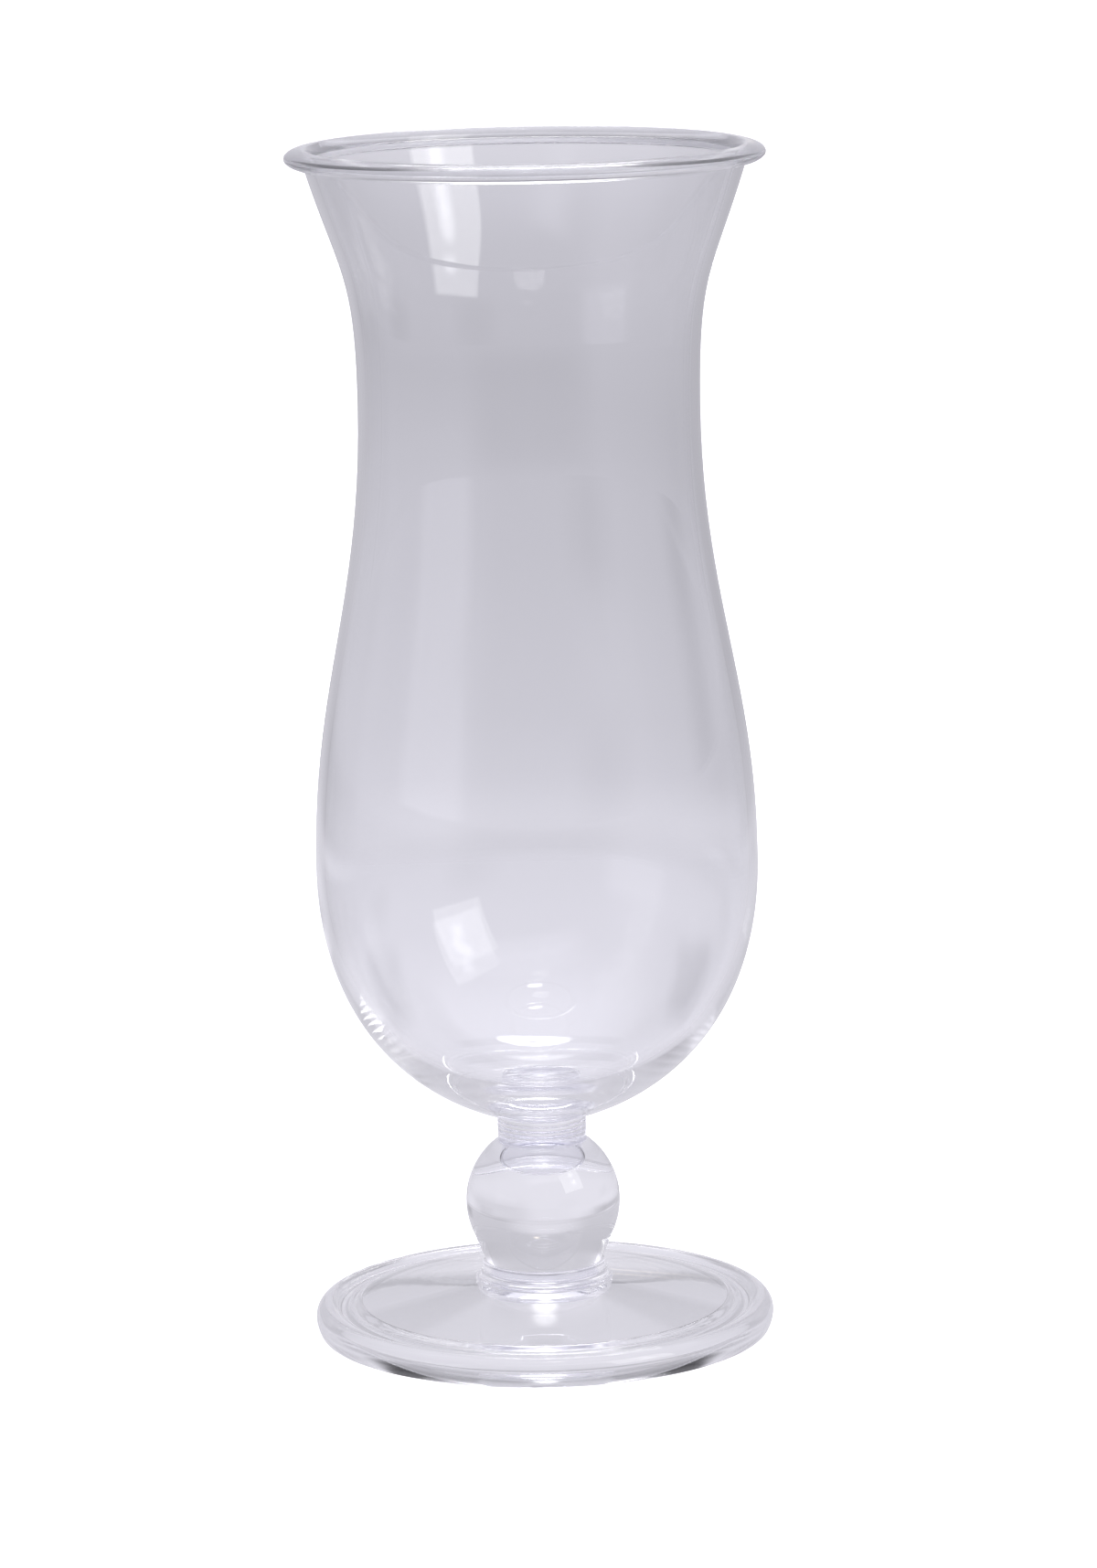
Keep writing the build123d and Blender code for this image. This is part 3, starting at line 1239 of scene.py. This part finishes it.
@dataclass
class Studio:
    """Pale floor, soft surround, studio cards and the camera.

    The floor's levels are greys by the distance from the glass in metres, and the sky's levels
    are greys by the upward part of the direction.
    """

    lens: float = 142.11
    sensor: float = 36.0
    place: Triple = (0.0022, -1.04555, 0.29607)
    pitch: float = 10.826
    roll: float = -1.0
    tint: Colour = (1.015, 1.0, 1.09)
    floor_radius: float = 4.0
    floor_drop: float = 0.0003
    paper: Colour = (0.9, 0.9, 0.9)
    paper_glow: float = 0.82
    # The lower levels within 0.06 m of the glass are a painted shadow under the foot
    floor_levels: tuple[Point, ...] = (
        (0.0, 0.72), (0.04, 0.74), (0.06, 0.80), (0.30, 0.78), (0.40, 0.75), (0.46, 0.69),
        (0.60, 0.62), (0.90, 0.565), (1.38, 0.53), (2.06, 0.55), (2.5, 0.58),
    )
    floor_span: float = 2.5
    sky_levels: tuple[Point, ...] = (
        (-0.3, 0.58), (0.0, 0.59), (0.21, 0.56), (0.34, 0.54), (0.47, 0.50), (0.56, 0.55),
        (0.64, 0.72), (0.72, 0.90), (0.81, 1.05), (0.91, 1.2), (1.0, 1.3),
    )
    sky_below: float = 0.3
    sky_span: float = 1.3
    bounces: int = 160
    clear_bounces: int = 64

    def _grey(self, level: float) -> Colour:
        """A cool grey of the surround."""
        return (level * self.tint[0], level * self.tint[1], level * self.tint[2])

    def camera(self) -> None:
        """Sets the camera at the photograph's viewing angle."""
        Bench.clear()
        bpy.ops.object.camera_add(location=ORIGIN)
        camera = bpy.context.object
        camera.name = "photo_camera"
        camera.data.sensor_fit = "VERTICAL"
        camera.data.sensor_height = self.sensor
        camera.data.lens = self.lens
        camera.data.clip_start = 0.01
        tilt = Matrix.Rotation(math.radians(90.0 - self.pitch), 4, "X")
        roll = Matrix.Rotation(math.radians(self.roll), 4, "Z")
        camera.matrix_world = Matrix.Translation(self.place) @ tilt @ roll
        bpy.context.scene.camera = camera

    def floor(self) -> None:
        """Lays the pale floor, which fades to grey away from the glass in what the plastic shows, with
        painted shadow, shade and light near the glass.
        """
        Bench.clear()
        below = (0.0, 0.0, -self.floor_drop)
        bpy.ops.mesh.primitive_circle_add(
            vertices=96, radius=self.floor_radius, fill_type="NGON", location=below
        )
        floor = bpy.context.object
        floor.name = "floor"
        material, sheet = NodeSheet.for_material("pale_floor")
        sockets = {"Color": self._floor_shades(sheet), "Strength": 1.0}
        glow = sheet.node("ShaderNodeEmission", {}, sockets)
        paper = sheet.node("ShaderNodeBsdfDiffuse", {}, {"Color": (*self.paper, 1.0)})
        sockets = {"Color": (*WHITE, 1.0), "Strength": self.paper_glow}
        base = sheet.node("ShaderNodeEmission", {}, sockets)
        seen = sheet.node("ShaderNodeAddShader", {}, {0: base, 1: paper})
        path = sheet.node("ShaderNodeLightPath", output="Is Camera Ray")
        sheet.finish(sheet.blend(path, glow, seen))
        floor.data.materials.append(material)

    def _floor_shades(self, sheet: NodeSheet) -> Signal:
        """The light that the floor sends into the plastic: rings, painted shade on the camera side, to
        the left, behind to the right and at both sides, a painted contact shadow and a painted pool of
        light in front of the foot.

        Args:
            sheet: the floor's nodes.

        Returns:
            The colour.
        """
        place = sheet.node("ShaderNodeTexCoord", output="Object")
        reach = sheet.length(place)
        stops = [(r / self.floor_span, self._grey(level)) for r, level in self.floor_levels]
        shade = sheet.node("ShaderNodeValToRGB", {"stops": stops}, {0: reach / self.floor_span})
        right = sheet.node("ShaderNodeSeparateXYZ", {}, {0: place}, "X")
        front = (0.0 - right.other("Y")) / (reach + MM)
        left = (0.0 - right) / (reach + MM)
        # Painted shade on the floor: darker on the camera side, behind to the right, to the left and
        # in thin bands at both sides
        camera_side_shade = front.ease(0.6, 0.95) * reach.ease(0.06, 0.14) * reach.ease(3.6, 1.2)
        behind = (0.0 - front).ease(0.9, 0.99) * reach.ease(1.6, 2.6)
        back_right = (0.0 - 0.5 * left - 0.87 * front).ease(0.88, 0.98) * reach.ease(0.06, 0.14)
        left_side_shade = left.ease(0.3, 0.8) * reach.ease(0.12, 0.25) * reach.ease(1.6, 0.8)
        sides = left.size().ease(0.95, 0.985) * reach.ease(0.07, 0.09) * reach.ease(0.22, 0.15)
        # Painted contact shadow: a dark ring on the floor just outside the foot, at its front left and
        # front right
        contact = reach.ease(0.0395, 0.041) * reach.ease(0.0485, 0.0455)
        shadow = contact * front.ease(0.3, 0.6) * front.ease(0.992, 0.96)
        layers = (
            (camera_side_shade * 0.45, BLACK),
            (behind, self._grey(0.72)),
            (back_right * 0.14, BLACK),
            (left_side_shade * 0.35, BLACK),
            (sides * 0.75, BLACK),
            (shadow * 0.92, BLACK),
            # Painted pool of light: a bright caustic on the floor straight in front of the foot,
            # inside the contact ring
            (contact * front.ease(0.97, 0.995), self._grey(1.3)),
        )
        for share, colour in layers:
            shade = sheet.mix(share, shade, colour)
        return shade

    def surround(self) -> None:
        """Fills the world with white for the camera and a soft cool grey for the plastic."""
        world = bpy.data.worlds.new("soft_surround")
        bpy.context.scene.world = world
        world.use_nodes = True
        sheet = NodeSheet(world.node_tree)
        way = sheet.node("ShaderNodeTexCoord", output="Generated")
        rise = sheet.node("ShaderNodeSeparateXYZ", {}, {0: way}, "Z")
        below, span = self.sky_below, self.sky_span
        stops = [((up + below) / span, self._grey(level)) for up, level in self.sky_levels]
        dark = sheet.node("ShaderNodeValToRGB", {"stops": stops}, {0: (rise + below) / span})
        path = sheet.node("ShaderNodeLightPath", output="Is Camera Ray")
        sockets = {"Color": sheet.mix(path, dark, WHITE), "Strength": 1.0}
        sheet.finish(sheet.node("ShaderNodeBackground", {}, sockets), "World")

    def lights(self) -> None:
        """Sets up the cards: soft lights, low pale walls, dark cards and small lamps."""
        cards = (
            Card("soft_light", 52.0, 31.0, 33.0, 30.0, 2.5, (0.1, 0.1), 0.776,
                 colour=WHITE, hot_spots=((-0.09, 0.27, 0.2), (-0.09, -0.1, 0.2)), hot_gain=2.0),
            Card("light_above_front", 15.0, 45.0, 84.0, 20.0, 1.4, (0.7, 0.7)),
            Card("fill_left", -58.0, 4.0, 48.0, 22.0, 0.97, (0.5, 0.5)),
            Card("low_wall_behind", 180.0, -7.3, 62.0, 4.2, 0.74, (0.9, 1.0), 0.4),
            Card("low_wall_right", 130.0, -7.3, 62.0, 4.2, 0.68, (0.9, 1.0), 0.42),
            Card("low_wall_left", 230.0, -7.3, 62.0, 4.2, 0.71, (0.9, 1.0), 0.42),
            Card("wall_behind", 182.0, -0.5, 58.0, 15.0, 0.76, (0.9, 0.4)),
            Card("dark_behind", 180.0, 24.0, 24.0, 12.0, 0.32, (0.5, 0.4), 3.2),
            Card("dark_back_right", 138.0, 40.0, 60.0, 22.0, 0.42, (0.7, 0.7), 3.2),
            Card("dark_front_right", 38.0, 4.0, 46.0, 18.0, 0.31, (1.0, 0.9), 3.2),
            Card("dark_right", 105.0, 2.0, 32.0, 15.0, 0.25, (1.0, 0.9), 3.2),
            Card("dark_left", -95.0, 18.0, 50.0, 22.0, 0.38, (1.0, 1.0), 3.2),
            Card("lamp_above", 176.0, 60.0, 26.0, 13.0, 9.0, (0.2, 0.2), 1.1, -4.0, WHITE, True, 0.06),
            Card("lamp_high_behind", 180.0, 38.0, 20.0, 12.0, 3.2, (0.6, 0.6), 1.3, 0.0, WHITE, True),
            Card("lamp_front", 7.0, 70.0, 9.0, 3.5, 9.0, (0.3, 0.3), 1.0, 0.0, WHITE, True),
            Card("lamp_behind", 176.0, 7.5, 5.0, 2.0, 1.1, (0.9, 0.9), 2.8, colour=(1.0, 0.93, 0.88)),
        )
        for card in cards:
            card.make()

    def exposure(self) -> None:
        """Plain tone curve, and enough bounces for light that crosses many clear walls."""
        scene = bpy.context.scene
        scene.view_settings.view_transform = "Standard"
        scene.view_settings.look = "None"
        scene.cycles.max_bounces = self.bounces
        scene.cycles.transmission_bounces = self.bounces
        scene.cycles.glossy_bounces = self.bounces
        scene.cycles.transparent_max_bounces = self.clear_bounces


def main() -> None:
    """Builds and dresses the glass, then the studio round it."""
    logging.basicConfig(level=logging.INFO, format="%(name)s: %(message)s")
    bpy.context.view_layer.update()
    bowl_finish = BOWL_PLASTIC.make()
    stem_finish = STEM_PLASTIC.make()
    cement_finish = SET_CEMENT.make()
    bonded_finish = WETTED.make()
    joints = Joints()
    kinds = (
        (Bowl, bowl_finish),
        (Knop, stem_finish),
        (Foot, stem_finish),
        (UpperBond, cement_finish),
        (LowerBond, cement_finish),
    )
    for kind, finish in kinds:
        turned = kind(joints)
        turned.dress(turned.build(), finish, bonded_finish)

    studio = Studio()
    studio.floor()
    studio.surround()
    studio.lights()
    studio.exposure()
    studio.camera()


if __name__ == "__main__":
    main()
